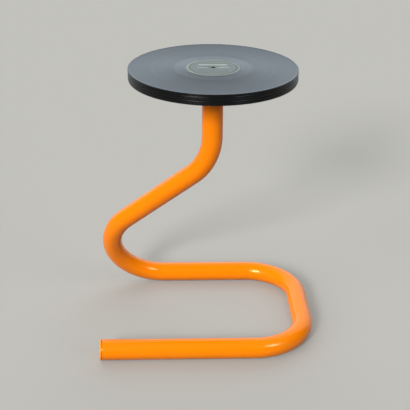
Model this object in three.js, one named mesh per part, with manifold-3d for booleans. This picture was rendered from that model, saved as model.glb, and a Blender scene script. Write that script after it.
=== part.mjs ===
// Stool with a flat round seat of stacked twelve-inch records on one bent steel tube.
// Millimetres, +Z up, standing on z = 0, with the origin under the middle of the part's box.
// From front to back, along +Y: the front rail with its free end at the left, the post, the rear rail.

import * as THREE from 'three';
import { mergeVertices } from 'three/addons/utils/BufferGeometryUtils.js';
import Module from 'manifold-3d';

const wasm = await Module();
wasm.setup();

// Seat
const seatHeight = 508;
const recordCount = 10;
const recordDiameter = 301.6;
const recordThickness = 1.95;
const spindleHoleDiameter = 7.24;
const labelDiameter = 100;
const labelThickness = 0.15;
const beadWidth = 4.5;
const rimRound = 0.9;
const rimFlat = 0.8;

// Bent tube, measured from the post's axis to centre lines, and to sharp corners before bending
const tubeDiameter = 38.1;
const tubeWall = 2;
const railSpacing = 295;
const crossRailReach = 175;
const frontRailReach = 203.2;
const footCornerReach = 344.5;
const postCornerHeight = 329.5;
const postBendRadius = 106;
const footBendRadius = 106;
const floorBendRadius = 98;

// Plug in the free end of the front rail
const plugFlangeThickness = 3;
const plugFlangeInset = 0.2;
const plugEdgeRound = 0.8;
const plugDomeRise = 0.9;
const plugJointGap = 0.3;
const plugInsertLength = 18;
const plugRibCount = 3;
const plugRibWidth = 1.4;
const plugRibHeight = 1.1;
const plugFit = 0.3;

// Plate that carries the records, smaller than them all round, and the weld that holds it on the post
const seatOverhang = 50.8;
const plateThickness = 4;
const plateEdgeChamfer = 0.6;
const weldLeg = 4;
const weldRootGap = 0.3;
const weldBulgeShare = 0.6;

// Pan-head screws, driven up through the plate into the lowest records
const screwCount = 4;
const screwEdgeDistance = 25;
const screwDiameter = 4.8;
const screwLength = 13;
const screwPointLength = 2;
const screwHeadDiameter = 9.5;
const screwHeadHeight = 3;
const screwHeadCrownShare = 0.55;
const screwHeadTopShare = 0.64;
const screwSocketWidth = 3;
const screwSocketDepth = 1.7;
const screwClearance = 0.3;
const cutOverrun = 1;

// Fineness of the round surfaces
const tubeSides = 24;
const boreSides = 16;
const bendStep = THREE.MathUtils.degToRad(9);
const recordSides = 48;
const labelSides = 20;
const plateSides = 40;
const screwSides = 10;
const socketSides = 6;
const plugSides = 20;

// Sizes that follow
const tubeRadius = tubeDiameter / 2;
const boreRadius = tubeRadius - tubeWall;
const boreFlatRadius = boreRadius * Math.cos(Math.PI / boreSides);
const recordRadius = recordDiameter / 2;
const recordHalf = recordThickness / 2;
const recordFace = recordHalf - labelThickness;
const beadCrestRadius = recordRadius - rimRound;
const stackBottom = seatHeight - recordCount * recordThickness;
const plateRadius = recordRadius - seatOverhang;
const plateBottom = stackBottom - plateThickness;
const drilledRecords = Math.ceil((screwLength - plateThickness) / recordThickness);
const screwPlaces = circle(plateRadius - screwEdgeDistance, screwCount, Math.PI / screwCount);

const enamelSteel = { name: 'orange_enamel', color: 0xf58a07, roughness: 0.22, metalness: 0.1 };
const plugPlastic = { name: 'orange_plastic', color: 0xf08a10, roughness: 0.35, metalness: 0 };
const vinyl = { name: 'black_vinyl', color: 0x17181a, roughness: 0.3, metalness: 0 };
const labelPaper = { name: 'label_paper', color: 0x8c9690, roughness: 0.55, metalness: 0 };
const zincSteel = { name: 'zinc_steel', color: 0xb9bcc0, roughness: 0.35, metalness: 1 };

function piece(name, geometry, finish) {
  const mesh = new THREE.Mesh(geometry, new THREE.MeshStandardMaterial(finish));
  mesh.name = name;
  return mesh;
}

// Turns a closed outline of radius and height about Z, listed with the outer side going up
function turned(outline, sides) {
  const points = outline.map(([radius, height]) => new THREE.Vector2(radius, height));
  return new THREE.LatheGeometry(points, sides).rotateX(Math.PI / 2);
}

function ring(outline, sides) {
  return turned([...outline, outline[0]], sides);
}

function circle(radius, count, startAngle = 0) {
  return Array.from({ length: count }, (_, index) => {
    const angle = startAngle + (2 * Math.PI * index) / count;
    return new THREE.Vector2(radius * Math.cos(angle), radius * Math.sin(angle));
  });
}

function solid(geometry) {
  const bare = geometry.clone();
  bare.deleteAttribute('normal');
  bare.deleteAttribute('uv');
  const merged = mergeVertices(bare);
  return new wasm.Manifold(
    new wasm.Mesh({
      numProp: 3,
      vertProperties: new Float32Array(merged.attributes.position.array),
      triVerts: new Uint32Array(merged.index.array),
    }),
  );
}

function cut(geometry, tools) {
  const result = tools.reduce((body, tool) => body.subtract(solid(tool)), solid(geometry)).getMesh();
  const cutGeometry = new THREE.BufferGeometry();
  cutGeometry.setAttribute('position', new THREE.BufferAttribute(result.vertProperties, 3));
  cutGeometry.setIndex(new THREE.BufferAttribute(result.triVerts, 1));
  cutGeometry.computeVertexNormals();
  return cutGeometry;
}

// Centre line of a bent tube: straights between sharp corners, each corner rounded by an arc.
// Its parameter runs from station to station, so that a straight is one step however long it is.
class BentLine extends THREE.Curve {
  constructor(corners, bendRadii) {
    super();
    this.stations = [{ point: corners[0], tangent: direction(corners[0], corners[1]) }];
    bendRadii.forEach((radius, index) => this.bend(corners.slice(index, index + 3), radius));
    const [previous, last] = corners.slice(-2);
    this.stations.push({ point: last, tangent: direction(previous, last) });
  }

  bend([before, corner, after], radius) {
    const arriving = direction(before, corner);
    const leaving = direction(corner, after);
    const turn = arriving.angleTo(leaving);
    const setback = radius * Math.tan(turn / 2);
    const start = corner.clone().addScaledVector(arriving, -setback);
    const axis = arriving.clone().cross(leaving).normalize();
    const inward = axis.clone().cross(arriving);
    const steps = Math.ceil(turn / bendStep);
    for (let step = 0; step <= steps; step += 1) {
      const angle = (turn * step) / steps;
      const point = start
        .clone()
        .addScaledVector(arriving, radius * Math.sin(angle))
        .addScaledVector(inward, radius * (1 - Math.cos(angle)));
      const tangent = arriving.clone().applyAxisAngle(axis, angle);
      this.stations.push({ point, tangent });
    }
  }

  get steps() {
    return this.stations.length - 1;
  }

  getPointAt(share) {
    return this.stations[Math.round(share * this.steps)].point.clone();
  }

  getTangentAt(share) {
    return this.stations[Math.round(share * this.steps)].tangent.clone();
  }
}

function direction(from, to) {
  return to.clone().sub(from).normalize();
}

// Tube, from the cut end of the front rail, round the floor and up the diagonal to the post's top
function bentTube() {
  const railOffset = railSpacing / 2;
  const corners = [
    new THREE.Vector3(-frontRailReach, -railOffset, tubeRadius),
    new THREE.Vector3(crossRailReach, -railOffset, tubeRadius),
    new THREE.Vector3(crossRailReach, railOffset, tubeRadius),
    new THREE.Vector3(-footCornerReach, railOffset, tubeRadius),
    new THREE.Vector3(0, 0, postCornerHeight),
    new THREE.Vector3(0, 0, plateBottom - weldRootGap),
  ];
  const line = new BentLine(corners, [floorBendRadius, floorBendRadius, footBendRadius, postBendRadius]);
  const section = new THREE.Shape(circle(tubeRadius, tubeSides));
  section.holes.push(new THREE.Path(circle(boreRadius, boreSides)));
  return new THREE.ExtrudeGeometry(section, { extrudePath: line, steps: line.steps });
}

// Plug: ribbed insert in the bore, and a domed flange over the tube's cut end, which is at zero
function endPlug() {
  const ribRadius = boreFlatRadius - plugFit;
  const coreRadius = ribRadius - plugRibHeight;
  const flangeRadius = tubeRadius - plugFlangeInset;
  const flangeBack = plugJointGap;
  const flangeFront = flangeBack + plugFlangeThickness;
  const insertStart = flangeBack - plugInsertLength;
  const ribPitch = plugInsertLength / (plugRibCount + 1);
  const ribs = Array.from({ length: plugRibCount }, (_, rib) => {
    const start = insertStart + (rib + 1) * ribPitch - plugRibWidth;
    return [
      [coreRadius, start],
      [ribRadius, start],
      [ribRadius, start + plugRibWidth],
      [coreRadius, start + plugRibWidth],
    ];
  });
  const outline = [
    [0, insertStart],
    [coreRadius, insertStart],
    ...ribs.flat(),
    [coreRadius, flangeBack],
    [flangeRadius, flangeBack],
    [flangeRadius, flangeFront - plugEdgeRound],
    [flangeRadius - plugEdgeRound, flangeFront],
    [0, flangeFront + plugDomeRise],
  ];
  return turned(outline, plugSides);
}

// Tools for the screws' holes through a piece from one height to another, flats clear of the shank
function screwHoles(bottom, top) {
  const radius = (screwDiameter / 2 + screwClearance) / Math.cos(Math.PI / screwSides);
  const length = top - bottom + 2 * cutOverrun;
  return screwPlaces.map(({ x, y }) =>
    new THREE.CylinderGeometry(radius, radius, length, screwSides)
      .rotateX(Math.PI / 2)
      .translate(x, y, (top + bottom) / 2),
  );
}

// Plate: a disc with chamfered edges and one hole for each screw, its underside at zero
function seatPlate() {
  const disc = turned(
    [
      [0, 0],
      [plateRadius - plateEdgeChamfer, 0],
      [plateRadius, plateEdgeChamfer],
      [plateRadius, plateThickness - plateEdgeChamfer],
      [plateRadius - plateEdgeChamfer, plateThickness],
      [0, plateThickness],
    ],
    plateSides,
  );
  return cut(disc, screwHoles(0, plateThickness));
}

// Fillet weld round the post, hanging below the plate's underside at zero
function plateWeld() {
  const innerRadius = tubeRadius + weldRootGap;
  return ring(
    [
      [innerRadius, -weldLeg],
      [innerRadius + weldLeg * weldBulgeShare, -weldLeg * weldBulgeShare],
      [innerRadius + weldLeg, 0],
      [innerRadius, 0],
    ],
    tubeSides,
  );
}

// Screw: crowned head below zero with a hexagon socket, plain shank and point above
function seatScrew() {
  const headRadius = screwHeadDiameter / 2;
  const shankRadius = screwDiameter / 2;
  const body = turned(
    [
      [0, -screwHeadHeight],
      [headRadius * screwHeadTopShare, -screwHeadHeight],
      [headRadius, -screwHeadHeight * (1 - screwHeadCrownShare)],
      [headRadius, 0],
      [shankRadius, 0],
      [shankRadius, screwLength - screwPointLength],
      [0, screwLength],
    ],
    screwSides,
  );
  const socketRadius = screwSocketWidth / 2 / Math.cos(Math.PI / socketSides);
  const socket = new THREE.CylinderGeometry(socketRadius, socketRadius, 2 * screwSocketDepth, socketSides)
    .rotateX(Math.PI / 2)
    .translate(0, 0, -screwHeadHeight);
  return cut(body, [socket]);
}

// Record: faces thinned for the labels, with a bead at the edge, about its own mid-height
function record(isDrilled) {
  const holeRadius = spindleHoleDiameter / 2;
  const disc = ring(
    [
      [holeRadius, -recordFace],
      [recordRadius - beadWidth, -recordFace],
      [beadCrestRadius, -recordHalf],
      [recordRadius, -rimFlat / 2],
      [recordRadius, rimFlat / 2],
      [beadCrestRadius, recordHalf],
      [recordRadius - beadWidth, recordFace],
      [holeRadius, recordFace],
    ],
    recordSides,
  );
  return isDrilled ? cut(disc, screwHoles(-recordHalf, recordHalf)) : disc;
}

// Paper label on the upper face of a record, about the record's mid-height
function label() {
  const holeRadius = spindleHoleDiameter / 2;
  const labelRadius = labelDiameter / 2;
  return ring(
    [
      [holeRadius, recordFace],
      [labelRadius, recordFace],
      [labelRadius, recordHalf],
      [holeRadius, recordHalf],
    ],
    labelSides,
  );
}

function baseFrame() {
  const frame = new THREE.Group();
  const plug = piece('end_plug', endPlug(), plugPlastic);
  plug.position.set(-frontRailReach, -railSpacing / 2, tubeRadius);
  plug.rotation.y = -Math.PI / 2;
  const plate = piece('seat_plate', seatPlate(), enamelSteel);
  const weld = piece('plate_weld', plateWeld(), enamelSteel);
  plate.position.z = plateBottom;
  weld.position.z = plateBottom;
  frame.add(piece('bent_tube', bentTube(), enamelSteel), plug, plate, weld);
  return frame;
}

function seatScrews() {
  const screws = new THREE.Group();
  screws.position.z = plateBottom;
  screwPlaces.forEach(({ x, y }, index) => {
    const screw = piece(`seat_screw_${index + 1}`, seatScrew(), zincSteel);
    screw.position.set(x, y, 0);
    screws.add(screw);
  });
  return screws;
}

// Stack of records, counted from the top, each with a label on both faces
function recordStack() {
  const stack = new THREE.Group();
  for (let number = 1; number <= recordCount; number += 1) {
    const isDrilled = number > recordCount - drilledRecords;
    const count = String(number).padStart(2, '0');
    const layer = new THREE.Group();
    const lower = piece(`label_${count}_lower`, label(), labelPaper);
    lower.rotation.x = Math.PI;
    layer.add(piece(`record_${count}`, record(isDrilled), vinyl));
    layer.add(piece(`label_${count}_upper`, label(), labelPaper), lower);
    layer.position.z = seatHeight - (number - 1 / 2) * recordThickness;
    stack.add(layer);
  }
  return stack;
}

const stool = new THREE.Group();
stool.add(baseFrame(), seatScrews(), recordStack());
const box = new THREE.Box3().setFromObject(stool);
stool.position.x = -(box.min.x + box.max.x) / 2;

export default stool;
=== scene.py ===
"""Looks of a low stool: a round seat of stacked records on one bent, powder-coated steel tube.

Metres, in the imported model's frame: +Z up from the floor, +X towards the cross rail, +Y towards
the rear rail. Each class is one sub-assembly or one finish. A sub-assembly holds its sizes as
fields, makes its own meshes and dresses them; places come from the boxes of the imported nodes.
"""

import logging
import math
import random
from collections.abc import Mapping, Sequence
from dataclasses import dataclass
from enum import Enum
from typing import Any

import bmesh
import bpy
from mathutils import Matrix, Vector


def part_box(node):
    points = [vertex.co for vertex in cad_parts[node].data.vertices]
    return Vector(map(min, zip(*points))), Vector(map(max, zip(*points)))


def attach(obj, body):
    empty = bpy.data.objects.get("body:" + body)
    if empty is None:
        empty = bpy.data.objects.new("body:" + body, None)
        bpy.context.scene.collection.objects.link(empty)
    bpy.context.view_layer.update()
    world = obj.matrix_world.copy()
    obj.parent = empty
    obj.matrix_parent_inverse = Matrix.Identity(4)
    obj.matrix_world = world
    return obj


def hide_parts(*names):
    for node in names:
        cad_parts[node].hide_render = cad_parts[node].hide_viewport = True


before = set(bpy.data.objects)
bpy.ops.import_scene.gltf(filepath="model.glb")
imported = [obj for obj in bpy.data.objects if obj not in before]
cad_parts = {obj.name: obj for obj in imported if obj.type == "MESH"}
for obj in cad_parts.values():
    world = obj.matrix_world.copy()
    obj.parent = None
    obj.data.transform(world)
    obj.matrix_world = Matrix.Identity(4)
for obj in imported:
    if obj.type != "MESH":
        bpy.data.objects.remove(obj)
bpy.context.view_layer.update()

MM = 0.001
BODY = "root"
DARKEST_CURVED_SHARE = 0.04045

# The kinds of node that come up most.
MATH = "ShaderNodeMath"
VECTOR_MATH = "ShaderNodeVectorMath"
NOISE = "ShaderNodeTexNoise"
MIX = "ShaderNodeMix"
MAP_RANGE = "ShaderNodeMapRange"
SPLIT = "ShaderNodeSeparateXYZ"

log = logging.getLogger("stool")

Outline = list[tuple[float, float]]
Socket = bpy.types.NodeSocket
Tree = bpy.types.NodeTree
Piece = bpy.types.Object


class Slot(Enum):
    """The record's material slots that the finishes stand for."""

    TUBE = "enamelled_steel"
    PLUG = "orange_plastic"
    RECORD = "black_vinyl"
    LABEL = "label_paper"
    SCREW = "zinc_steel"


def linear(hex_colour: str) -> tuple[float, float, float, float]:
    """Turn an sRGB colour into the linear one that the shaders take.

    Args:
        hex_colour: The colour as "#rrggbb".

    Returns:
        Red, green, blue and a full alpha.
    """
    shares = [int(hex_colour[start : start + 2], 16) / 255 for start in (1, 3, 5)]
    red, green, blue = (
        share / 12.92 if share <= DARKEST_CURVED_SHARE else ((share + 0.055) / 1.055) ** 2.4
        for share in shares
    )
    return red, green, blue, 1.0


def add_node(
    tree: Tree, kind: str, inputs: Mapping[int | str, Any] | None = None, **settings: Any
) -> Socket | None:
    """Add a node to a tree, with its settings, values and links.

    Args:
        tree: The tree that gets the node.
        kind: The node's type name.
        inputs: For each input, by name or number, its value or the output that feeds it.
        **settings: The node's own properties.

    Returns:
        The node's first output that is in use, through which the node itself can be reached,
        or None where it has no output.
    """
    node = tree.nodes.new(kind)
    for name, value in settings.items():
        setattr(node, name, value)
    for key, value in (inputs or {}).items():
        in_use = [socket for socket in node.inputs if socket.enabled and socket.name == key]
        socket = in_use[0] if in_use else node.inputs[key]
        if isinstance(value, Socket):
            tree.links.new(value, socket)
        else:
            socket.default_value = value
    return next((socket for socket in node.outputs if socket.enabled), None)


def geometry_tree(name: str, sizes: Mapping[str, str]) -> tuple[Tree, bpy.types.NodeOutputs]:
    """Start a Geometry Nodes tree with a geometry input, a material input and named sizes.

    Args:
        name: The tree's name.
        sizes: The socket type of each named size.

    Returns:
        The tree, and its inputs as the outputs of its input node.
    """
    tree = bpy.data.node_groups.new(name, "GeometryNodeTree")
    tree.interface.new_socket("Geometry", in_out="INPUT", socket_type="NodeSocketGeometry")
    tree.interface.new_socket("Geometry", in_out="OUTPUT", socket_type="NodeSocketGeometry")
    tree.interface.new_socket("Material", in_out="INPUT", socket_type="NodeSocketMaterial")
    for size, socket_type in sizes.items():
        tree.interface.new_socket(size, in_out="INPUT", socket_type=socket_type)
    return tree, tree.nodes.new("NodeGroupInput").outputs


def end_tree(tree: Tree, material: Socket, geometry: Socket) -> None:
    """End a tree with real geometry that carries its material.

    Args:
        tree: The tree to end.
        material: Its material input.
        geometry: The output that holds the geometry.
    """
    real = add_node(tree, "GeometryNodeRealizeInstances", {"Geometry": geometry})
    dressed = add_node(tree, "GeometryNodeSetMaterial", {"Geometry": real, "Material": material})
    add_node(tree, "NodeGroupOutput", {"Geometry": dressed})


def add_tree(obj: Piece, tree: Tree, values: Mapping[str, Any]) -> None:
    """Put a tree on an object and give its named inputs their values.

    Args:
        obj: The object that carries the modifier.
        tree: The Geometry Nodes tree.
        values: The value of each named input.
    """
    modifier = obj.modifiers.new(tree.name, "NODES")
    modifier.node_group = tree
    for item in tree.interface.items_tree:
        if item.in_out == "INPUT" and item.name in values:
            modifier[item.identifier] = values[item.name]


def settle(obj: Piece) -> None:
    """Turn what an object's modifiers make into its own plain mesh, and remove them.

    Args:
        obj: The object with the modifiers.
    """
    depsgraph = bpy.context.evaluated_depsgraph_get()
    mesh = bpy.data.meshes.new_from_object(obj.evaluated_get(depsgraph), depsgraph=depsgraph)
    mesh.name = obj.name
    obj.modifiers.clear()
    obj.data = mesh


def new_object(name: str, mesh: bpy.types.Mesh) -> Piece:
    """Link a mesh into the scene as an object at the origin.

    Args:
        name: The object's name.
        mesh: Its mesh.

    Returns:
        The object.
    """
    obj = bpy.data.objects.new(name, mesh)
    bpy.context.scene.collection.objects.link(obj)
    return obj


def arc(
    centre: tuple[float, float], reach: tuple[float, float], start: float, end: float, steps: int
) -> Outline:
    """List the points of a round or oval arc in an outline of radius and height.

    Args:
        centre: Radius and height of the arc's centre.
        reach: The arc's own half width and half height.
        start: First angle in degrees, 0 outwards and 90 up.
        end: Last angle in degrees.
        steps: How many steps there are between them.

    Returns:
        The points, both ends included.
    """
    angles = [math.radians(start + (end - start) * step / steps) for step in range(steps + 1)]
    return [(centre[0] + reach[0] * math.cos(a), centre[1] + reach[1] * math.sin(a)) for a in angles]


def turned(name: str, outline: Outline, sides: int, place: Matrix, crease: float) -> Piece:
    """Turn an outline about an axis into a closed body.

    An outline that starts and ends on the axis gives a solid; any other is joined to itself as
    a ring. Points on the axis become one pole each.

    Args:
        name: The object's name.
        outline: Radius and height of each point.
        sides: How many sides the body has around its axis.
        place: The matrix that takes the axis from +Z at the origin to its place.
        crease: The angle in degrees past which an edge stays crisp.

    Returns:
        The object, linked into the scene.
    """
    bm = bmesh.new()
    rings = []
    for radius, height in outline:
        angles = [2 * math.pi * side / sides for side in range(sides if radius > 0 else 1)]
        rings.append([bm.verts.new((radius * math.cos(a), radius * math.sin(a), height)) for a in angles])
    pairs = list(zip(rings, rings[1:]))
    if len(rings[0]) > 1:
        pairs.append((rings[-1], rings[0]))
    for lower, upper in pairs:
        for side in range(sides):
            after = (side + 1) % sides
            corners = [lower[side % len(lower)], lower[after % len(lower)]]
            corners += [upper[after % len(upper)], upper[side % len(upper)]]
            bm.faces.new(list(dict.fromkeys(corners))).smooth = True
    bmesh.ops.transform(bm, matrix=place, verts=bm.verts)
    bmesh.ops.recalc_face_normals(bm, faces=bm.faces)
    mesh = bpy.data.meshes.new(name)
    bm.to_mesh(mesh)
    bm.free()
    mesh.set_sharp_from_angle(angle=math.radians(crease))
    return new_object(name, mesh)


def cut_away(obj: Piece, cutters: Sequence[Piece], crease: float) -> None:
    """Cut other bodies out of a body, and delete them.

    Args:
        obj: The body that is cut.
        cutters: The bodies that are taken out of it.
        crease: The angle in degrees past which an edge stays crisp.
    """
    for cutter in cutters:
        modifier = obj.modifiers.new(cutter.name, "BOOLEAN")
        modifier.object = cutter
        modifier.solver = "EXACT"
    settle(obj)
    obj.data.set_sharp_from_angle(angle=math.radians(crease))
    for cutter in cutters:
        bpy.data.objects.remove(cutter)


@dataclass(frozen=True)
class Finish:
    """A finish: one procedural material, and the record's slot that it stands for."""

    name: str
    slot: Slot

    def material(self) -> bpy.types.Material:
        """Give the finish's material, made the first time that it is asked for.

        Returns:
            The material.
        """
        found = bpy.data.materials.get(self.name)
        if found:
            return found
        material = bpy.data.materials.new(self.name)
        material.use_nodes = True
        tree = material.node_tree
        tree.nodes.clear()
        place = add_node(tree, "ShaderNodeTexCoord").node.outputs["Object"]
        shader = add_node(tree, "ShaderNodeBsdfPrincipled", self.surface(tree, place))
        add_node(tree, "ShaderNodeOutputMaterial", {"Surface": shader})
        return material

    def mottle(
        self, tree: Tree, place: Socket, width: float, detail: float, colours: tuple[str, str]
    ) -> tuple[Socket, Socket]:
        """Let a colour wander between two, in soft patches.

        Args:
            tree: The material's tree.
            place: The output that gives the place on the object.
            width: How wide the patches are.
            detail: How much finer noise they hold.
            colours: The two colours.

        Returns:
            The patches, and the colour.
        """
        patches = add_node(tree, NOISE, {"Vector": place, "Scale": 1 / width, "Detail": detail})
        ends = {"Factor": patches, "A": linear(colours[0]), "B": linear(colours[1])}
        return patches, add_node(tree, MIX, ends, data_type="RGBA")

    def surface(self, tree: Tree, place: Socket) -> dict[str, Any]:
        """Build the finish's pattern.

        Args:
            tree: The material's tree.
            place: The output that gives the place on the object.

        Returns:
            The value or output for each input of the surface shader.
        """
        raise NotImplementedError

    def dress(self, obj: Piece, *nodes: str) -> Piece:
        """Make an object a finished piece of the stool.

        Args:
            obj: The object, in its place.
            *nodes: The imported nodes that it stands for.

        Returns:
            The same object.
        """
        obj.data.materials.clear()
        obj.data.materials.append(self.material())
        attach(obj, BODY)
        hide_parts(*nodes)
        log.info("%s: %d faces, %s", obj.name, len(obj.data.polygons), self.name)
        return obj

    def paint(self, node: str) -> None:
        """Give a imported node, whose shape stays, this finish.

        Args:
            node: The node's name.
        """
        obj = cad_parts[node]
        obj.data.materials.clear()
        obj.data.materials.append(self.material())
        log.info("%s: packed node, %s", node, self.name)


@dataclass(frozen=True)
class PowderCoat(Finish):
    """Polyester powder coat, sprayed dry and baked until it flows out.

    To the eye: an even, strong orange under a smooth gloss, with the slight orange peel of the
    melt that makes a lamp's reflection waver, and dull scuffs where the rails rub on the floor.
    """

    colour: str = "#fd8702"
    deep_colour: str = "#fb8101"
    scuff_colour: str = "#b9803f"
    gloss_tint: str = "#ffcf99"
    roughness: float = 0.19
    roughness_swing: float = 0.03
    ior: float = 1.5
    peel_width: float = 3.0 * MM
    peel_height: float = 0.012 * MM
    cloud_width: float = 70 * MM
    scuff_height: float = 1.2 * MM
    scuff_width: float = 9 * MM

    def surface(self, tree: Tree, place: Socket) -> dict[str, Any]:
        """Build the coat: clouded colour, peel, and scuffs low down on the rails.

        Args:
            tree: The material's tree.
            place: The output that gives the place on the object.

        Returns:
            The value or output for each input of the surface shader.
        """
        oranges = (self.colour, self.deep_colour)
        clouds, orange = self.mottle(tree, place, self.cloud_width, 3.0, oranges)
        height = add_node(tree, SPLIT, {"Vector": place}).node.outputs["Z"]
        low = add_node(
            tree,
            MAP_RANGE,
            {"Value": height, "From Max": self.scuff_height, "To Min": 1.0, "To Max": 0.0},
        )
        rubs = add_node(tree, NOISE, {"Vector": place, "Scale": 1 / self.scuff_width, "Detail": 5.0})
        scuffs = add_node(tree, MATH, {0: low, 1: rubs}, operation="MULTIPLY")
        colour = add_node(
            tree,
            MIX,
            {"Factor": scuffs, "A": orange, "B": linear(self.scuff_colour)},
            data_type="RGBA",
        )
        least = self.roughness - self.roughness_swing
        most = self.roughness + self.roughness_swing
        gloss = add_node(tree, MAP_RANGE, {"Value": clouds, "To Min": least, "To Max": most})
        peel = add_node(tree, NOISE, {"Vector": place, "Scale": 1 / self.peel_width, "Detail": 1.0})
        bump = add_node(tree, "ShaderNodeBump", {"Height": peel, "Distance": self.peel_height})
        return {
            "Base Color": colour,
            "Roughness": gloss,
            "IOR": self.ior,
            "Specular Tint": linear(self.gloss_tint),
            "Normal": bump,
        }


@dataclass(frozen=True)
class MouldedPlastic(Finish):
    """Low-density polyethylene, injection moulded in a spark-eroded mould.

    To the eye: a softer, slightly paler orange than the coat beside it, waxy and satin, with a
    fine even grain.
    """

    colour: str = "#f99b1c"
    grain_colour: str = "#f28f10"
    roughness: float = 0.55
    ior: float = 1.51
    grain_width: float = 0.5 * MM
    grain_height: float = 0.006 * MM

    def surface(self, tree: Tree, place: Socket) -> dict[str, Any]:
        """Build the plastic: grained colour and a fine bump.

        Args:
            tree: The material's tree.
            place: The output that gives the place on the object.

        Returns:
            The value or output for each input of the surface shader.
        """
        colours = (self.colour, self.grain_colour)
        grain, colour = self.mottle(tree, place, self.grain_width, 2.0, colours)
        bump = add_node(tree, "ShaderNodeBump", {"Height": grain, "Distance": self.grain_height})
        return {"Base Color": colour, "Roughness": self.roughness, "IOR": self.ior, "Normal": bump}


@dataclass(frozen=True)
class Round(Finish):
    """A finish that lies in rings about the seat's axis."""

    axis: tuple[float, float]

    def polar(self, tree: Tree, place: Socket) -> tuple[Socket, Socket]:
        """Centre a round pattern on the seat's axis.

        Args:
            tree: The material's tree.
            place: The output that gives the place on the object.

        Returns:
            The level offset from the axis, and its length.
        """
        offset = (-self.axis[0], -self.axis[1], 0.0)
        level = add_node(
            tree, "ShaderNodeMapping", {"Vector": place, "Location": offset, "Scale": (1.0, 1.0, 0.0)}
        )
        return level, add_node(tree, VECTOR_MATH, {0: level}, operation="LENGTH")


@dataclass(frozen=True)
class PressedVinyl(Round):
    """Polyvinyl chloride with carbon black, pressed hot between two grooved stampers.

    To the eye: over the grooves a satin reflection of the room, smeared across the rings by the
    groove walls, which is lighter to both sides of the hole, with a little pale dust; a slightly
    smoother run-out round the label; and a black rim, trimmed and duller than the face. The real
    grooves are a tenth of a millimetre apart, too fine for the picture, so the rings are drawn
    about a millimetre wide. Each haze pair scales the haze at a pattern's low and high ends.
    """

    colour: str = "#08090a"
    haze_colour: str = "#3f454a"
    roughness: float = 0.32
    lead_out_roughness: float = 0.27
    rim_roughness: float = 0.27
    rim_gloss: float = 0.38
    ior: float = 1.54
    anisotropy: float = 0.6
    anisotropy_turn: float = 0.25
    groove_inner: float = 69 * MM
    groove_outer: float = 146.3 * MM
    face_inner: float = 50 * MM
    face_outer: float = 149.6 * MM
    ring_width: float = 1.1 * MM
    ring_height: float = 0.008 * MM
    track_width: float = 14 * MM
    dust_width: float = 30 * MM
    groove_haze: tuple[float, float] = (1.0, 0.9)
    ring_haze: tuple[float, float] = (-0.1, 1.5)
    track_haze: tuple[float, float] = (0.2, 1.4)
    dust_haze: tuple[float, float] = (0.3, 1.1)

    def surface(self, tree: Tree, place: Socket) -> dict[str, Any]:
        """Build the vinyl: rings by radius, haze and dust on the face, a duller rim.

        Args:
            tree: The material's tree.
            place: The output that gives the place on the object.

        Returns:
            The value or output for each input of the surface shader.
        """
        level, radius = self.polar(tree, place)
        outside = add_node(tree, MATH, {0: radius, 1: self.groove_inner}, operation="GREATER_THAN")
        inside = add_node(tree, MATH, {0: radius, 1: self.groove_outer}, operation="LESS_THAN")
        grooved = add_node(tree, MATH, {0: outside, 1: inside}, operation="MULTIPLY")
        rings, tracks = (
            add_node(
                tree,
                NOISE,
                {"W": radius, "Scale": 1 / width, "Detail": detail},
                noise_dimensions="1D",
            )
            for width, detail in ((self.ring_width, 2.0), (self.track_width, 1.0))
        )
        specks = {"Vector": place, "Scale": 1 / self.dust_width, "Detail": 6.0, "Roughness": 0.6}
        dust = add_node(tree, NOISE, specks)
        middle = (self.face_inner + self.face_outer) / 2
        reach = (self.face_outer - self.face_inner) / 2
        face = add_node(tree, MATH, {0: radius, 1: middle, 2: reach}, operation="COMPARE")
        patterns = [(outside, self.groove_haze), (rings, self.ring_haze)]
        patterns += [(tracks, self.track_haze), (dust, self.dust_haze)]
        haze = face
        for pattern, (least, most) in patterns:
            share = add_node(tree, MAP_RANGE, {"Value": pattern, "To Min": least, "To Max": most})
            haze = add_node(tree, MATH, {0: haze, 1: share}, operation="MULTIPLY")
        colour = add_node(
            tree,
            MIX,
            {"Factor": haze, "A": linear(self.colour), "B": linear(self.haze_colour)},
            data_type="RGBA",
        )
        pressed = add_node(
            tree,
            MAP_RANGE,
            {"Value": inside, "To Min": self.rim_roughness, "To Max": self.roughness},
        )
        roughness = add_node(tree, MIX, {"Factor": outside, "A": self.lead_out_roughness, "B": pressed})
        gloss = add_node(tree, MAP_RANGE, {"Value": face, "To Min": self.rim_gloss})
        along = add_node(tree, VECTOR_MATH, {0: (0.0, 0.0, 1.0), 1: level}, operation="CROSS_PRODUCT")
        ripple = add_node(tree, MATH, {0: rings, 1: grooved}, operation="MULTIPLY")
        bump = add_node(tree, "ShaderNodeBump", {"Height": ripple, "Distance": self.ring_height})
        return {
            "Base Color": colour,
            "Roughness": roughness,
            "IOR": self.ior,
            "Specular Tint": gloss,
            "Anisotropic": self.anisotropy,
            "Anisotropic Rotation": self.anisotropy_turn,
            "Tangent": along,
            "Normal": bump,
        }


@dataclass(frozen=True)
class Bar:
    """A plain printed bar on a label: its middle, half its width and half its height."""

    x: float
    y: float
    half_width: float
    half_height: float


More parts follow.
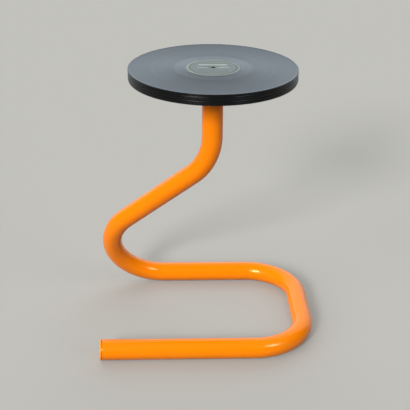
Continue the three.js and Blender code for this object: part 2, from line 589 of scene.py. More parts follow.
@dataclass(frozen=True)
class PrintedPaper(Round):
    """Uncoated paper, printed flat and pressed into the record hot.

    To the eye: a dull grey-green with faint fibres, a slightly darker border, and plain pale bars
    and thin rings in its print.
    """

    colour: str = "#6d746d"
    fleck_colour: str = "#656c65"
    pale_ink: str = "#a9b3af"
    dark_ink: str = "#3f4843"
    border_ink: str = "#666f67"
    roughness: float = 0.5
    ior: float = 1.45
    fibre_width: float = 1.6 * MM
    fibre_height: float = 0.02 * MM
    border_ring: tuple[float, float] = (46.0 * MM, 4.0 * MM)
    pale_ring: tuple[float, float] = (46.0 * MM, 0.4 * MM)
    dark_ring: tuple[float, float] = (41.5 * MM, 0.7 * MM)
    pale_bars: tuple[Bar, ...] = (
        Bar(0.0, 15.5 * MM, 25 * MM, 2.2 * MM),
        Bar(-19.0 * MM, 0.0, 9.0 * MM, 0.9 * MM),
        Bar(19.0 * MM, 0.0, 9.0 * MM, 0.9 * MM),
    )
    row_top: float = -11.0 * MM
    row_pitch: float = 5.0 * MM
    row_half_widths: tuple[float, ...] = (26 * MM, 29 * MM, 24 * MM, 26 * MM, 17 * MM)
    row_half_height: float = 0.7 * MM

    def surface(self, tree: Tree, place: Socket) -> dict[str, Any]:
        """Build the paper: flecked stock, then the inks laid over it, dark and pale.

        Args:
            tree: The material's tree.
            place: The output that gives the place on the object.

        Returns:
            The value or output for each input of the surface shader.
        """
        level, radius = self.polar(tree, place)
        across = add_node(tree, SPLIT, {"Vector": level}).node.outputs
        colours = (self.colour, self.fleck_colour)
        fibres, colour = self.mottle(tree, place, self.fibre_width, 4.0, colours)
        rows = tuple(
            Bar(0.0, self.row_top - index * self.row_pitch, half_width, self.row_half_height)
            for index, half_width in enumerate(self.row_half_widths)
        )
        inks = [(self.border_ink, self.border_ring, ())]
        inks += [(self.dark_ink, self.dark_ring, rows), (self.pale_ink, self.pale_ring, self.pale_bars)]
        for ink, ring, bars in inks:
            mask = add_node(tree, MATH, {0: radius, 1: ring[0], 2: ring[1]}, operation="COMPARE")
            for bar in bars:
                wide = {0: across["X"], 1: bar.x, 2: bar.half_width}
                high = {0: across["Y"], 1: bar.y, 2: bar.half_height}
                in_width = add_node(tree, MATH, wide, operation="COMPARE")
                in_height = add_node(tree, MATH, high, operation="COMPARE")
                inside = add_node(tree, MATH, {0: in_width, 1: in_height}, operation="MULTIPLY")
                mask = add_node(tree, MATH, {0: mask, 1: inside}, operation="MAXIMUM")
            colour = add_node(tree, MIX, {"Factor": mask, "A": colour, "B": linear(ink)}, data_type="RGBA")
        bump = add_node(tree, "ShaderNodeBump", {"Height": fibres, "Distance": self.fibre_height})
        return {"Base Color": colour, "Roughness": self.roughness, "IOR": self.ior, "Normal": bump}


@dataclass(frozen=True)
class ZincPlate(Finish):
    """Steel, electroplated with zinc and clear passivated.

    To the eye: a cool, slightly clouded silver, duller than polished steel.
    """

    colour: str = "#c3c8cd"
    cloud_colour: str = "#b3b3a6"
    roughness: float = 0.32
    cloud_width: float = 4 * MM

    def surface(self, tree: Tree, place: Socket) -> dict[str, Any]:
        """Build the plating: clouded metal.

        Args:
            tree: The material's tree.
            place: The output that gives the place on the object.

        Returns:
            The value or output for each input of the surface shader.
        """
        colours = (self.colour, self.cloud_colour)
        colour = self.mottle(tree, place, self.cloud_width, 3.0, colours)[1]
        return {"Base Color": colour, "Metallic": 1.0, "Roughness": self.roughness}


@dataclass
class BentTube:
    """The one tube: front rail, cross rail, rear rail, diagonal and post, bent cold.

    Reaches are measured from the post's axis to centre lines, and to the corners that the
    centre line would have without its bends.
    """

    finish: PowderCoat
    diameter: float = 38.1 * MM
    wall: float = 2.0 * MM
    rail_spacing: float = 295 * MM
    cross_rail_reach: float = 175 * MM
    front_rail_reach: float = 203.2 * MM
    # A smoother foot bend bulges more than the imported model's facets do, so it starts nearer.
    foot_corner_reach: float = 344.0 * MM
    post_corner_height: float = 329.5 * MM
    post_bend_radius: float = 106 * MM
    foot_bend_radius: float = 106 * MM
    floor_bend_radius: float = 98 * MM
    end_round: float = 0.25 * MM
    end_round_steps: int = 3
    end_round_least_angle: float = 60
    collar: float = 2.5 * MM
    sides: int = 96
    bend_steps: int = 48

    @property
    def radius(self) -> float:
        """Outer radius of the tube."""
        return self.diameter / 2

    @property
    def post_axis(self) -> Vector:
        """Where the post's axis meets the floor, under the middle of the seat's plate."""
        low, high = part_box("seat_plate")
        return Vector(((low.x + high.x) / 2, (low.y + high.y) / 2, 0.0))

    @property
    def free_end(self) -> Vector:
        """Centre of the front rail's cut end."""
        return self.post_axis + Vector((-self.front_rail_reach, -self.rail_spacing / 2, self.radius))

    def corners(self) -> list[tuple[Vector, float]]:
        """List the route's points from the free end to the post's top.

        Returns:
            Each point with the radius of its bend. A point a collar's length from each cut end
            keeps the rounding of the end away from the shading of the rail.
        """
        half = self.rail_spacing / 2
        axis = self.post_axis
        post_top = axis + Vector((0, 0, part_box("bent_tube")[1].z))
        floor_corners = [(self.cross_rail_reach, -half), (self.cross_rail_reach, half)]
        bends = [(Vector((x, y, self.radius)), self.floor_bend_radius) for x, y in floor_corners]
        bends.append((Vector((-self.foot_corner_reach, half, self.radius)), self.foot_bend_radius))
        bends.append((Vector((0, 0, self.post_corner_height)), self.post_bend_radius))
        return [
            (self.free_end, 0.0),
            (self.free_end + Vector((self.collar, 0, 0)), 0.0),
            *((axis + point, bend) for point, bend in bends),
            (post_top - Vector((0, 0, self.collar)), 0.0),
            (post_top, 0.0),
        ]

    def tree(self) -> Tree:
        """Build the tree that bends a polyline at its corners and runs a round section along it.

        Returns:
            The tree. It reads each corner's radius from the attribute bend_radius.
        """
        sizes = {"Tube Radius": "NodeSocketFloat", "Sides": "NodeSocketInt", "Bend Steps": "NodeSocketInt"}
        tree, given = geometry_tree("tube_bending", sizes)
        line = add_node(tree, "GeometryNodeMeshToCurve", {"Mesh": given["Geometry"]})
        radius = add_node(
            tree, "GeometryNodeInputNamedAttribute", {"Name": "bend_radius"}, data_type="FLOAT"
        )
        bent = add_node(
            tree,
            "GeometryNodeFilletCurve",
            {"Curve": line, "Count": given["Bend Steps"], "Radius": radius},
            mode="POLY",
        )
        section = add_node(
            tree,
            "GeometryNodeCurvePrimitiveCircle",
            {"Resolution": given["Sides"], "Radius": given["Tube Radius"]},
            mode="RADIUS",
        )
        skin = add_node(tree, "GeometryNodeCurveToMesh", {"Curve": bent, "Profile Curve": section})
        smooth = add_node(tree, "GeometryNodeSetShadeSmooth", {"Geometry": skin})
        end_tree(tree, given["Material"], smooth)
        return tree

    def build(self) -> Piece:
        """Make the tube with its wall and rounded cut ends, and dress it.

        Returns:
            The tube.
        """
        route = self.corners()
        mesh = bpy.data.meshes.new("bent_tube_route")
        links = [(index, index + 1) for index in range(len(route) - 1)]
        mesh.from_pydata([point for point, _ in route], links, [])
        bends = mesh.attributes.new("bend_radius", "FLOAT", "POINT")
        bends.data.foreach_set("value", [bend for _, bend in route])
        tube = new_object("powder_coated_tube", mesh)
        values = {
            "Material": self.finish.material(),
            "Tube Radius": self.radius,
            "Sides": self.sides,
            "Bend Steps": self.bend_steps,
        }
        add_tree(tube, self.tree(), values)
        wall = tube.modifiers.new("wall", "SOLIDIFY")
        wall.thickness = self.wall
        wall.offset = -1.0
        ends = tube.modifiers.new("ends", "BEVEL")
        ends.width = self.end_round
        ends.segments = self.end_round_steps
        ends.limit_method = "ANGLE"
        ends.angle_limit = math.radians(self.end_round_least_angle)
        settle(tube)
        return self.finish.dress(tube, "bent_tube")


@dataclass
class EndPlug:
    """The moulded plug in the front rail's free end: ribbed insert, joint and domed flange."""

    finish: MouldedPlastic
    tube: BentTube
    joint_gap: float = 0.9 * MM
    flange_thickness: float = 2.4 * MM
    flange_inset: float = 0.2 * MM
    back_round: float = 0.3 * MM
    back_steps: int = 5
    edge_round: float = 1.0 * MM
    edge_turn: float = 80
    edge_steps: int = 6
    dome_rise: float = 0.9 * MM
    dome_steps: int = 12
    insert_length: float = 18 * MM
    rib_count: int = 3
    rib_width: float = 1.4 * MM
    rib_height: float = 1.1 * MM
    rib_fit: float = 0.3 * MM
    gate_radius: float = 1.6 * MM
    gate_floor_share: float = 0.8
    gate_depth: float = 0.25 * MM
    sides: int = 96
    crease: float = 35

    def outline(self) -> Outline:
        """List the plug's outline, with zero height at the tube's cut end.

        Returns:
            Radius and height of each point.
        """
        rib = self.tube.radius - self.tube.wall - self.rib_fit
        core = rib - self.rib_height
        flange = self.tube.radius - self.flange_inset
        front = self.joint_gap + self.flange_thickness
        start = self.joint_gap - self.insert_length
        pitch = self.insert_length / (self.rib_count + 1)
        points = [(0.0, start), (core, start)]
        for index in range(1, self.rib_count + 1):
            high = start + index * pitch
            low = high - self.rib_width
            points += [(core, low), (rib, low), (rib, high), (core, high)]
        points.append((core, self.joint_gap))
        back = self.back_round
        points += arc((flange - back, self.joint_gap + back), (back, back), -90, 0, self.back_steps)
        edge = self.edge_round
        points += arc((flange - edge, front - edge), (edge, edge), 0, self.edge_turn, self.edge_steps)
        edge_radius, edge_height = points[-1]
        tip = front + self.dome_rise
        for step in range(1, self.dome_steps + 1):
            share = step / self.dome_steps
            radius = edge_radius + (self.gate_radius - edge_radius) * share
            points.append((radius, edge_height + (tip - edge_height) * (1 - (1 - share) ** 2)))
        gate_floor = tip - self.gate_depth
        points += [(self.gate_radius * self.gate_floor_share, gate_floor), (0.0, gate_floor)]
        return points

    def build(self) -> Piece:
        """Turn the plug, lay it along the rail, pointing to -X, and dress it.

        Returns:
            The plug.
        """
        place = Matrix.Translation(self.tube.free_end) @ Matrix.Rotation(-math.pi / 2, 4, "Y")
        plug = turned("moulded_end_plug", self.outline(), self.sides, place, self.crease)
        return self.finish.dress(plug, "end_plug")


@dataclass
class SeatMount:
    """What carries the records on the post: the plate, its weld and its four screws."""

    coat: PowderCoat
    zinc: ZincPlate
    tube: BentTube
    plate_edge_round: float = 0.9 * MM
    plate_edge_steps: int = 5
    plate_sides: int = 192
    plate_crease: float = 50
    weld_leg: float = 4.0 * MM
    weld_bulge_share: float = 0.35
    weld_sink: float = 0.4 * MM
    weld_ripples: int = 58
    ripple_height: float = 0.16 * MM
    ripple_bow: float = 1.2
    ripple_lean: float = 0.7
    swell_height: float = 0.5 * MM
    swell_count: float = 5.0
    weld_sides: int = 696
    weld_section_steps: int = 12
    weld_crease: float = 75
    screw_count: int = 4
    screw_edge_distance: float = 25 * MM
    screw_diameter: float = 4.8 * MM
    screw_length: float = 13 * MM
    screw_point: float = 2 * MM
    screw_hole_diameter: float = 5.4 * MM
    head_diameter: float = 9.5 * MM
    head_height: float = 3 * MM
    head_flat_share: float = 0.5
    head_start: float = -80
    head_steps: int = 8
    socket_width: float = 3 * MM
    socket_depth: float = 1.7 * MM
    screw_sides: int = 48
    screw_crease: float = 40
    key_crease: float = 30
    turn_seed: int = 7
    overrun: float = 1 * MM

    @property
    def plate_radius(self) -> float:
        """Radius of the plate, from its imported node."""
        low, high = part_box("seat_plate")
        return (high.x - low.x) / 2

    @property
    def screw_circle(self) -> float:
        """Radius of the circle on which the screws stand."""
        return self.plate_radius - self.screw_edge_distance

    @property
    def underside(self) -> Vector:
        """The point under the plate, on the post's axis."""
        return self.tube.post_axis + Vector((0, 0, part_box("seat_plate")[0].z))

    def build_plate(self) -> Piece:
        """Turn the plate with rounded edges, drill it for the screws, and dress it.

        Returns:
            The plate.
        """
        low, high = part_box("seat_plate")
        top = high.z - low.z
        edge = self.plate_edge_round
        outline = [(0.0, 0.0)]
        outline += arc((self.plate_radius - edge, edge), (edge, edge), -90, 0, self.plate_edge_steps)
        outline += arc((self.plate_radius - edge, top - edge), (edge, edge), 0, 90, self.plate_edge_steps)
        outline.append((0.0, top))
        crease = self.plate_crease
        place = Matrix.Translation(self.underside)
        plate = turned("seat_plate_disc", outline, self.plate_sides, place, crease)
        hole = self.screw_hole_diameter / 2
        start, end = -self.overrun, top + self.overrun
        drill = [(0.0, start), (hole, start), (hole, end), (0.0, end)]
        drills = []
        for index in range(self.screw_count):
            angle = math.pi * (2 * index + 1) / self.screw_count
            offset = Vector((math.cos(angle), math.sin(angle), 0)) * self.screw_circle
            place = Matrix.Translation(self.underside + offset)
            drills.append(turned(f"drill_{index + 1}", drill, self.screw_sides, place, crease))
        cut_away(plate, drills, crease)
        return self.coat.dress(plate, "seat_plate")

    def weld_tree(self) -> Tree:
        """Build the tree that turns a smooth ring about the origin into a rippled weld bead.

        Returns:
            The tree. It moves the ring's points along their normals: ripples that bow towards
            the middle of the bead, as each pool of weld froze, and a slow swell round the post.
        """
        sizes = {
            "Ripples": "NodeSocketFloat",
            "Ripple Height": "NodeSocketFloat",
            "Ripple Bow": "NodeSocketFloat",
            "Swell Height": "NodeSocketFloat",
            "Swell Count": "NodeSocketFloat",
            "Place": "NodeSocketVector",
        }
        tree, given = geometry_tree("weld_ripples", sizes)
        point = add_node(tree, "GeometryNodeInputPosition")
        parts = add_node(tree, SPLIT, {"Vector": point}).node.outputs
        angle = add_node(tree, MATH, {0: parts["Y"], 1: parts["X"]}, operation="ARCTAN2")
        turns = add_node(tree, MATH, {0: angle, 1: 2 * math.pi}, operation="DIVIDE")
        beats = add_node(tree, MATH, {0: turns, 1: given["Ripples"]}, operation="MULTIPLY")
        normal = add_node(tree, "GeometryNodeInputNormal")
        slope = add_node(tree, SPLIT, {"Vector": normal}).node.outputs["Z"]
        lean = add_node(tree, MATH, {0: slope, 1: self.ripple_lean}, operation="ADD")
        bow = add_node(tree, MATH, {0: lean, 1: lean}, operation="MULTIPLY")
        shift = add_node(tree, MATH, {0: bow, 1: given["Ripple Bow"]}, operation="MULTIPLY")
        phase = add_node(tree, MATH, {0: beats, 1: shift}, operation="ADD")
        saw = add_node(tree, MATH, {0: phase}, operation="FRACT")
        ripple = add_node(tree, MATH, {0: saw, 1: given["Ripple Height"]}, operation="MULTIPLY")
        outward = add_node(tree, VECTOR_MATH, {0: point}, operation="NORMALIZE")
        wander = add_node(tree, NOISE, {"Vector": outward, "Scale": given["Swell Count"], "Detail": 1.0})
        centred = add_node(tree, MATH, {0: wander, 1: 0.5}, operation="SUBTRACT")
        swell = add_node(tree, MATH, {0: centred, 1: given["Swell Height"]}, operation="MULTIPLY")
        height = add_node(tree, MATH, {0: ripple, 1: swell}, operation="ADD")
        offset = add_node(tree, VECTOR_MATH, {0: normal, "Scale": height}, operation="SCALE")
        placed = add_node(tree, VECTOR_MATH, {0: offset, 1: given["Place"]}, operation="ADD")
        moved = add_node(tree, "GeometryNodeSetPosition", {"Geometry": given["Geometry"], "Offset": placed})
        end_tree(tree, given["Material"], moved)
        return tree

    def build_weld(self) -> Piece:
        """Make the weld bead between the post and the plate, and dress it.

        Returns:
            The bead. It is sunk a little into the post and the plate, so that no gap shows.
        """
        post = self.tube.radius
        leg = self.weld_leg
        sink = self.weld_sink
        outline = [(post - sink, sink), (post - sink, -leg)]
        for step in range(self.weld_section_steps + 1):
            share = step / self.weld_section_steps
            bulge = self.weld_bulge_share * leg * math.sin(math.pi * share) / 2
            outline.append((post + leg * share + bulge, -leg * (1 - share) - bulge))
        outline.append((post + leg, sink))
        weld = turned("fillet_weld_bead", outline, self.weld_sides, Matrix.Identity(4), self.weld_crease)
        values = {
            "Material": self.coat.material(),
            "Ripples": float(self.weld_ripples),
            "Ripple Height": self.ripple_height,
            "Ripple Bow": self.ripple_bow,
            "Swell Height": self.swell_height,
            "Swell Count": self.swell_count,
            "Place": self.underside,
        }
        add_tree(weld, self.weld_tree(), values)
        settle(weld)
        return self.coat.dress(weld, "plate_weld")

    def screw_tree(self) -> Tree:
        """Build the tree that sets a copy of one screw at each place on a circle.

        Returns:
            The tree. It turns each screw by a random angle, as a driver leaves them.
        """
        sizes = {"Count": "NodeSocketInt", "Circle Radius": "NodeSocketFloat", "Place": "NodeSocketVector"}
        tree, given = geometry_tree("screw_circle", sizes)
        circle = add_node(
            tree, "GeometryNodeMeshCircle", {"Vertices": given["Count"], "Radius": given["Circle Radius"]}
        )
        half_step = add_node(tree, MATH, {0: math.pi, 1: given["Count"]}, operation="DIVIDE")
        turn = add_node(tree, "ShaderNodeCombineXYZ", {"Z": half_step})
        placed = add_node(
            tree,
            "GeometryNodeTransform",
            {"Geometry": circle, "Translation": given["Place"], "Rotation": turn},
        )
        spin = add_node(
            tree,
            "FunctionNodeRandomValue",
            {"Min": (0.0, 0.0, 0.0), "Max": (0.0, 0.0, math.pi), "Seed": self.turn_seed},
            data_type="FLOAT_VECTOR",
        )
        screws = add_node(
            tree,
            "GeometryNodeInstanceOnPoints",
            {"Points": placed, "Instance": given["Geometry"], "Rotation": spin},
        )
        end_tree(tree, given["Material"], screws)
        return tree

    def build_screws(self) -> Piece:
        """Make one pan-head screw with a hexagon socket, set four of them, and dress them.

        Returns:
            The set of screws.
        """
        head = self.head_diameter / 2
        shank = self.screw_diameter / 2
        flat = head * self.head_flat_share
        outline = [(0.0, -self.head_height), (flat, -self.head_height)]
        outline += arc((flat, 0.0), (head - flat, self.head_height), self.head_start, 0, self.head_steps)
        outline += [(shank, 0.0), (shank, self.screw_length - self.screw_point), (0.0, self.screw_length)]
        upright = Matrix.Identity(4)
        screws = turned("seat_screw_set", outline, self.screw_sides, upright, self.screw_crease)
        key = self.socket_width / math.sqrt(3)
        floor = self.socket_depth - self.head_height
        start = -self.head_height - self.overrun
        socket = [(0.0, start), (key, start), (key, floor), (0.0, floor + key / 3)]
        hexagon = turned("hexagon_key", socket, 6, upright, self.key_crease)
        cut_away(screws, [hexagon], self.screw_crease)
        values = {
            "Material": self.zinc.material(),
            "Count": self.screw_count,
            "Circle Radius": self.screw_circle,
            "Place": self.underside,
        }
        add_tree(screws, self.screw_tree(), values)
        settle(screws)
        nodes = [f"seat_screw_{index + 1}" for index in range(self.screw_count)]
        return self.zinc.dress(screws, *nodes)

    def build(self) -> list[Piece]:
        """Make the plate, the weld and the screws."""
        return [self.build_plate(), self.build_weld(), self.build_screws()]


@dataclass
class RecordStack:
    """The seat: ten records glued into a stack, each with a label on both faces."""

    vinyl: PressedVinyl
    paper: PrintedPaper
    tube: BentTube
    top_label: str = "label_01_upper"
    hole_diameter: float = 7.24 * MM
    label_hole_diameter: float = 8.4 * MM
    label_diameter: float = 100 * MM
    label_thickness: float = 0.15 * MM
    label_edge: float = 0.06 * MM
    pressed_ring_radius: float = 35.5 * MM
    pressed_ring_half_width: float = 0.8 * MM
    pressed_ring_depth: float = 0.08 * MM
    groove_depth: float = 0.25 * MM
    groove_run_in: float = 1.0 * MM
    bead_width: float = 4.5 * MM
    bead_slope_share: float = 0.6
    rim_round: float = 0.9 * MM
    least_rim_round: float = 0.2 * MM
    rim_steps: int = 7
    bead_steps: int = 6
    largest_inset: float = 1.0 * MM
    near_share: tuple[float, float] = (0.1, 0.3)
    far_share: tuple[float, float] = (0.6, 1.0)
    trim_round_share: tuple[float, float] = (1.0, 1.8)
    largest_shift: float = 0.12 * MM
    proud_pitch: int = 4
    first_proud: int = 2
    sides: int = 288
    crease: float = 60
    seed: int = 5

    @property
    def names(self) -> list[str]:
        """Names of the records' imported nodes, from the top."""
        return sorted(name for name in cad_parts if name.startswith("record_"))

    def rims(self) -> list[tuple[float, float]]:
        """List how far each rim stands back from the largest one, and its rounding.

        Returns:
            The inset and rounding of each record, from the top. A few round rims stand proud and
            catch the light, and the others are trimmed square, every second one further back.
        """
        draws = random.Random(self.seed)
        rims = []
        for index in range(len(self.names)):
            if index % self.proud_pitch == self.first_proud:
                rims.append((0.0, self.rim_round))
                continue
            share = self.near_share if index % 2 == 0 else self.far_share
            inset = self.largest_inset * draws.uniform(*share)
            rims.append((inset, self.least_rim_round * draws.uniform(*self.trim_round_share)))
        return rims

    def upper_outline(self, radius: float, half: float, rim_round: float) -> Outline:
        """List the upper half of a record's outline, from the hole to the rim's middle.

        Args:
            radius: The record's radius.
            half: Half of its thickness.
            rim_round: Rounding of its rim.

        Returns:
            Radius and height above the record's middle.
        """
        hole = self.hole_diameter / 2
        land = half - self.label_thickness
        floor = land - self.groove_depth
        label = self.label_diameter / 2
        outer = radius - self.bead_width
        crest = outer + self.bead_width * self.bead_slope_share
        points = [(hole, land - self.label_edge), (hole + self.label_edge, land), (label, land)]
        points += [(label + self.groove_run_in, floor), (outer, floor)]
        for step in range(1, self.bead_steps + 1):
            share = step / self.bead_steps
            ease = (1 - math.cos(math.pi * share)) / 2
            points.append((outer + (crest - outer) * share, floor + (half - floor) * ease))
        middle = (radius - rim_round, half - rim_round)
        points += arc(middle, (rim_round, rim_round), 90, 0, self.rim_steps)
        return points

    def build_record(self, name: str, inset: float, rim_round: float, shift: Vector) -> Piece:
        """Turn one record in its place and dress it.

        Args:
            name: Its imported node.
            inset: How far its rim stands back.
            rim_round: Rounding of its rim.
            shift: How far it lies off the post's axis.

        Returns:
            The record.
        """
        low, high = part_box(name)
        upper = self.upper_outline((high.x - low.x) / 2 - inset, (high.z - low.z) / 2, rim_round)
        lower = [(radius, -height) for radius, height in reversed(upper)]
        middle = Vector((0, 0, (high.z + low.z) / 2))
        place = Matrix.Translation(self.tube.post_axis + middle + shift)
        new_name = name.replace("record", "pressed_record")
        record = turned(new_name, upper + lower, self.sides, place, self.crease)
        return self.vinyl.dress(record, name)

    def build_top_label(self) -> Piece:
        """Turn the label that shows, with its pressed ring, and dress it.

        Returns:
            The label.
        """
        low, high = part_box(self.top_label)
        edge = self.label_edge
        hole = self.label_hole_diameter / 2
        label = self.label_diameter / 2
        ring = self.pressed_ring_radius
        wide = self.pressed_ring_half_width
        outline = [(hole, low.z), (label, low.z), (label, high.z - edge), (label - edge, high.z)]
        outline += [(ring + wide, high.z), (ring, high.z - self.pressed_ring_depth), (ring - wide, high.z)]
        outline += [(hole + edge, high.z), (hole, high.z - edge)]
        place = Matrix.Translation(self.tube.post_axis)
        paper = turned("printed_top_label", outline, self.sides, place, self.crease)
        return self.paper.dress(paper, self.top_label)

    def build(self) -> list[Piece]:
        """Make the records and the top label, and paint the labels hidden in the stack.

        Returns:
            The new pieces, from the top record down, and the top label last.
        """
        draws = random.Random(self.seed + 1)
        pieces = []
        for index, (name, rim) in enumerate(zip(self.names, self.rims())):
            angle = draws.uniform(0, 2 * math.pi)
            reach = self.largest_shift * draws.random() if index else 0.0
            shift = Vector((math.cos(angle), math.sin(angle), 0)) * reach
            pieces.append(self.build_record(name, *rim, shift))
        for name in sorted(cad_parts):
            if name.startswith("label_") and name != self.top_label:
                self.paper.paint(name)
        pieces.append(self.build_top_label())
        return pieces


class Light(Enum):
    """What a lamp gives to the surfaces that it reaches."""

    GLOSS = "gloss only"
    SHADE = "shade only"


@dataclass(frozen=True)
class FarLamp:
    """A soft round lamp, so far away that it lights the floor evenly.

    Azimuth is in degrees from straight in front, towards +X; elevation is above the floor.
    Strength is in watts to a square metre, and spread is how wide the lamp looks, in degrees.
    A lamp gives either light and shade or its reflection in the gloss, so that the two can be
    as soft and as bright as each looks in the photograph.
    """

    name: str
    azimuth: float
    elevation: float
    strength: float
    spread: float
    gives: Light
    colour: str = "#ffffff"

    def build(self) -> None:
        """Set up the lamp, turned to shine from its place in the sky."""
        light = bpy.data.lights.new(self.name, "SUN")
        light.energy = self.strength
        light.color = linear(self.colour)[:3]
        light.angle = math.radians(self.spread)
        azimuth = math.radians(self.azimuth)
        elevation = math.radians(self.elevation)
        level = math.cos(elevation)
        away = Vector((math.sin(azimuth) * level, -math.cos(azimuth) * level, math.sin(elevation)))
        lamp = bpy.data.objects.new(self.name, light)
        lamp.rotation_euler = away.to_track_quat("Z", "Y").to_euler()
        lamp.visible_diffuse = self.gives is Light.SHADE
        lamp.visible_glossy = self.gives is Light.GLOSS
        bpy.context.scene.collection.objects.link(lamp)


@dataclass(frozen=True)
class Glow:
    """A pale stretch of wall or ceiling round the stool, with soft edges.

    Azimuths are in degrees from straight in front, towards +X; elevations are above the floor.
    """

    azimuth: float
    half_width: float
    low: float
    high: float
    strength: float
    edge: float = 6.0

    def add(self, tree: Tree, way: Socket, total: Socket | float) -> Socket:
        """Add the stretch to the strength of the surroundings.

        Args:
            tree: The world's tree.
            way: The output that gives the direction looked in.
            total: The strength so far.

        Returns:
            The strength with this stretch in it.
        """
        azimuth = math.radians(self.azimuth)
        towards = (math.sin(azimuth), -math.cos(azimuth), 0.0)
        level = add_node(tree, VECTOR_MATH, {0: way, 1: (1.0, 1.0, 0.0)}, operation="MULTIPLY")
        heading = add_node(tree, VECTOR_MATH, {0: level}, operation="NORMALIZE")
        facing = add_node(tree, VECTOR_MATH, {0: heading, 1: towards}, operation="DOT_PRODUCT")
        rise = add_node(tree, SPLIT, {"Vector": way}).node.outputs["Z"]
        outer = math.cos(math.radians(min(self.half_width + self.edge, 180)))
        inner = math.cos(math.radians(self.half_width - self.edge))
        levels = [math.sin(math.radians(angle)) for angle in (self.low, self.high)]
        soft = math.sin(math.radians(self.edge))
        strength = self.strength
        for value, start, end in (
            (facing, outer, inner),
            (rise, levels[0] - soft, levels[0] + soft),
            (rise, levels[1] + soft, levels[1] - soft),
        ):
            share = add_node(
                tree,
                MAP_RANGE,
                {"Value": value, "From Min": start, "From Max": end},
                interpolation_type="SMOOTHSTEP",
            )
            strength = add_node(tree, MATH, {0: strength, 1: share}, operation="MULTIPLY")
        return add_node(tree, MATH, {0: total, 1: strength}, operation="ADD")


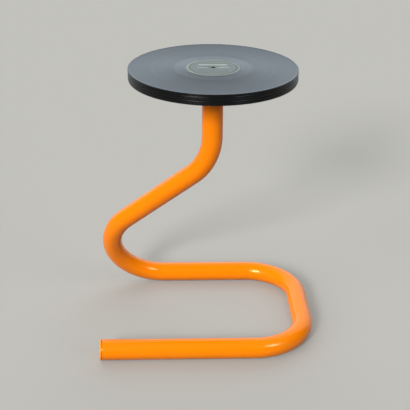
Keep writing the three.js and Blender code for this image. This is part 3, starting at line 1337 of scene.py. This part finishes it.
@dataclass
class Studio:
    """The floor, the lamps, the pale surroundings and the camera."""

    backdrop_colour: str = "#c9c8c3"
    floor_colour: str = "#b6b3ac"
    floor_bounce_colour: str = "#3a3733"
    floor_glow_share: float = 0.3
    floor_reach: float = 20.0
    wall_colour: str = "#dbe9f4"
    base_strength: float = 0.03
    glows: tuple[Glow, ...] = (
        Glow(180, 58, -10, 55, 1.38),
        Glow(-90, 30, 12, 30, 0.4),
        Glow(0, 180, 55, 90, 0.38),
    )
    lamps: tuple[FarLamp, ...] = (
        FarLamp("key_lamp", -27, 26, 2.9, 14, Light.SHADE),
        FarLamp("left_lamp", -60, 25, 1.2, 40, Light.SHADE),
        FarLamp("key_glint", -27, 30, 3.8, 22, Light.GLOSS),
        FarLamp("right_lamp", 60, 25, 0.7, 40, Light.SHADE),
        FarLamp("right_glint", 42, 40, 1.9, 21, Light.GLOSS, "#d6f1ff"),
        FarLamp("rear_lamp", 180, 40, 0.8, 60, Light.SHADE),
        FarLamp("top_lamp", 0, 88, 0.25, 60, Light.SHADE),
    )
    camera_place: tuple[float, float, float] = (-0.069708, -1.690807, 1.0265)
    camera_pan: float = -2.275
    camera_tilt: float = 24.907
    camera_roll: float = 0.573
    lens: float = 87.38
    sensor: float = 36.0

    def build_camera(self) -> None:
        """Set the camera at the photograph's viewing angle."""
        camera = bpy.data.cameras.new("camera")
        camera.sensor_width = self.sensor
        camera.lens = self.lens
        pan = Matrix.Rotation(math.radians(self.camera_pan), 4, "Z")
        tilt = Matrix.Rotation(math.radians(90 - self.camera_tilt), 4, "X")
        roll = Matrix.Rotation(math.radians(self.camera_roll), 4, "Z")
        obj = bpy.data.objects.new("camera", camera)
        obj.matrix_world = Matrix.Translation(self.camera_place) @ pan @ tilt @ roll
        bpy.context.scene.collection.objects.link(obj)
        bpy.context.scene.camera = obj

    def build_floor(self) -> None:
        """Lay the plain floor, which a camera below it sees through."""
        reach = self.floor_reach
        mesh = bpy.data.meshes.new("floor")
        corners = [(-reach, -reach, 0), (reach, -reach, 0), (reach, reach, 0), (-reach, reach, 0)]
        mesh.from_pydata(corners, [], [(0, 1, 2, 3)])
        material = bpy.data.materials.new("plain_floor")
        material.use_nodes = True
        tree = material.node_tree
        tree.nodes.clear()
        rays = add_node(tree, "ShaderNodeLightPath").node.outputs
        seen = rays["Is Camera Ray"]
        for ray in ("Is Glossy Ray", "Is Transmission Ray"):
            seen = add_node(tree, MATH, {0: seen, 1: rays[ray]}, operation="MAXIMUM")
        colour = add_node(
            tree,
            MIX,
            {"Factor": seen, "A": linear(self.floor_bounce_colour), "B": linear(self.floor_colour)},
            data_type="RGBA",
        )
        lit = add_node(tree, "ShaderNodeBsdfDiffuse", {"Color": colour})
        even = add_node(tree, "ShaderNodeEmission", {"Color": linear(self.floor_colour)})
        share = add_node(tree, MATH, {0: seen, 1: self.floor_glow_share}, operation="MULTIPLY")
        surface = add_node(tree, "ShaderNodeMixShader", {0: share, 1: lit, 2: even})
        clear = add_node(tree, "ShaderNodeBsdfTransparent")
        from_below = add_node(tree, "ShaderNodeNewGeometry").node.outputs["Backfacing"]
        hidden = {0: from_below, 1: rays["Is Camera Ray"]}
        hidden = add_node(tree, MATH, hidden, operation="MULTIPLY")
        shown = add_node(tree, "ShaderNodeMixShader", {0: hidden, 1: surface, 2: clear})
        add_node(tree, "ShaderNodeOutputMaterial", {"Surface": shown})
        mesh.materials.append(material)
        new_object("floor", mesh)

    def build_world(self) -> None:
        """Make the surroundings: a dim room with its pale stretches of wall and ceiling.

        A camera that looks over the floor sees a plain pale backdrop instead of the room.
        """
        world = bpy.data.worlds.new("pale_room")
        world.use_nodes = True
        tree = world.node_tree
        tree.nodes.clear()
        way = add_node(tree, "ShaderNodeTexCoord").node.outputs["Generated"]
        strength = self.base_strength
        for glow in self.glows:
            strength = glow.add(tree, way, strength)
        light = add_node(
            tree, "ShaderNodeBackground", {"Color": linear(self.wall_colour), "Strength": strength}
        )
        backdrop = add_node(tree, "ShaderNodeBackground", {"Color": linear(self.backdrop_colour)})
        seen = add_node(tree, "ShaderNodeLightPath").node.outputs["Is Camera Ray"]
        around = add_node(tree, "ShaderNodeMixShader", {0: seen, 1: light, 2: backdrop})
        add_node(tree, "ShaderNodeOutputWorld", {"Surface": around})
        bpy.context.scene.world = world

    def build(self) -> None:
        """Set up everything around the stool."""
        bpy.context.scene.view_settings.view_transform = "Standard"
        self.build_camera()
        self.build_floor()
        self.build_world()
        for lamp in self.lamps:
            lamp.build()


def main() -> None:
    """Build the studio and the stool, piece by piece."""
    logging.basicConfig(level=logging.INFO, format="%(name)s: %(message)s")
    Studio().build()
    coat = PowderCoat("powder_coat_orange", Slot.TUBE)
    tube = BentTube(coat)
    axis = (tube.post_axis.x, tube.post_axis.y)
    tube.build()
    EndPlug(MouldedPlastic("moulded_polyethylene_orange", Slot.PLUG), tube).build()
    SeatMount(coat, ZincPlate("zinc_plate_passivated", Slot.SCREW), tube).build()
    vinyl = PressedVinyl("pressed_vinyl_black", Slot.RECORD, axis)
    paper = PrintedPaper("printed_label_paper", Slot.LABEL, axis)
    RecordStack(vinyl, paper, tube).build()


if __name__ == "__main__":
    main()
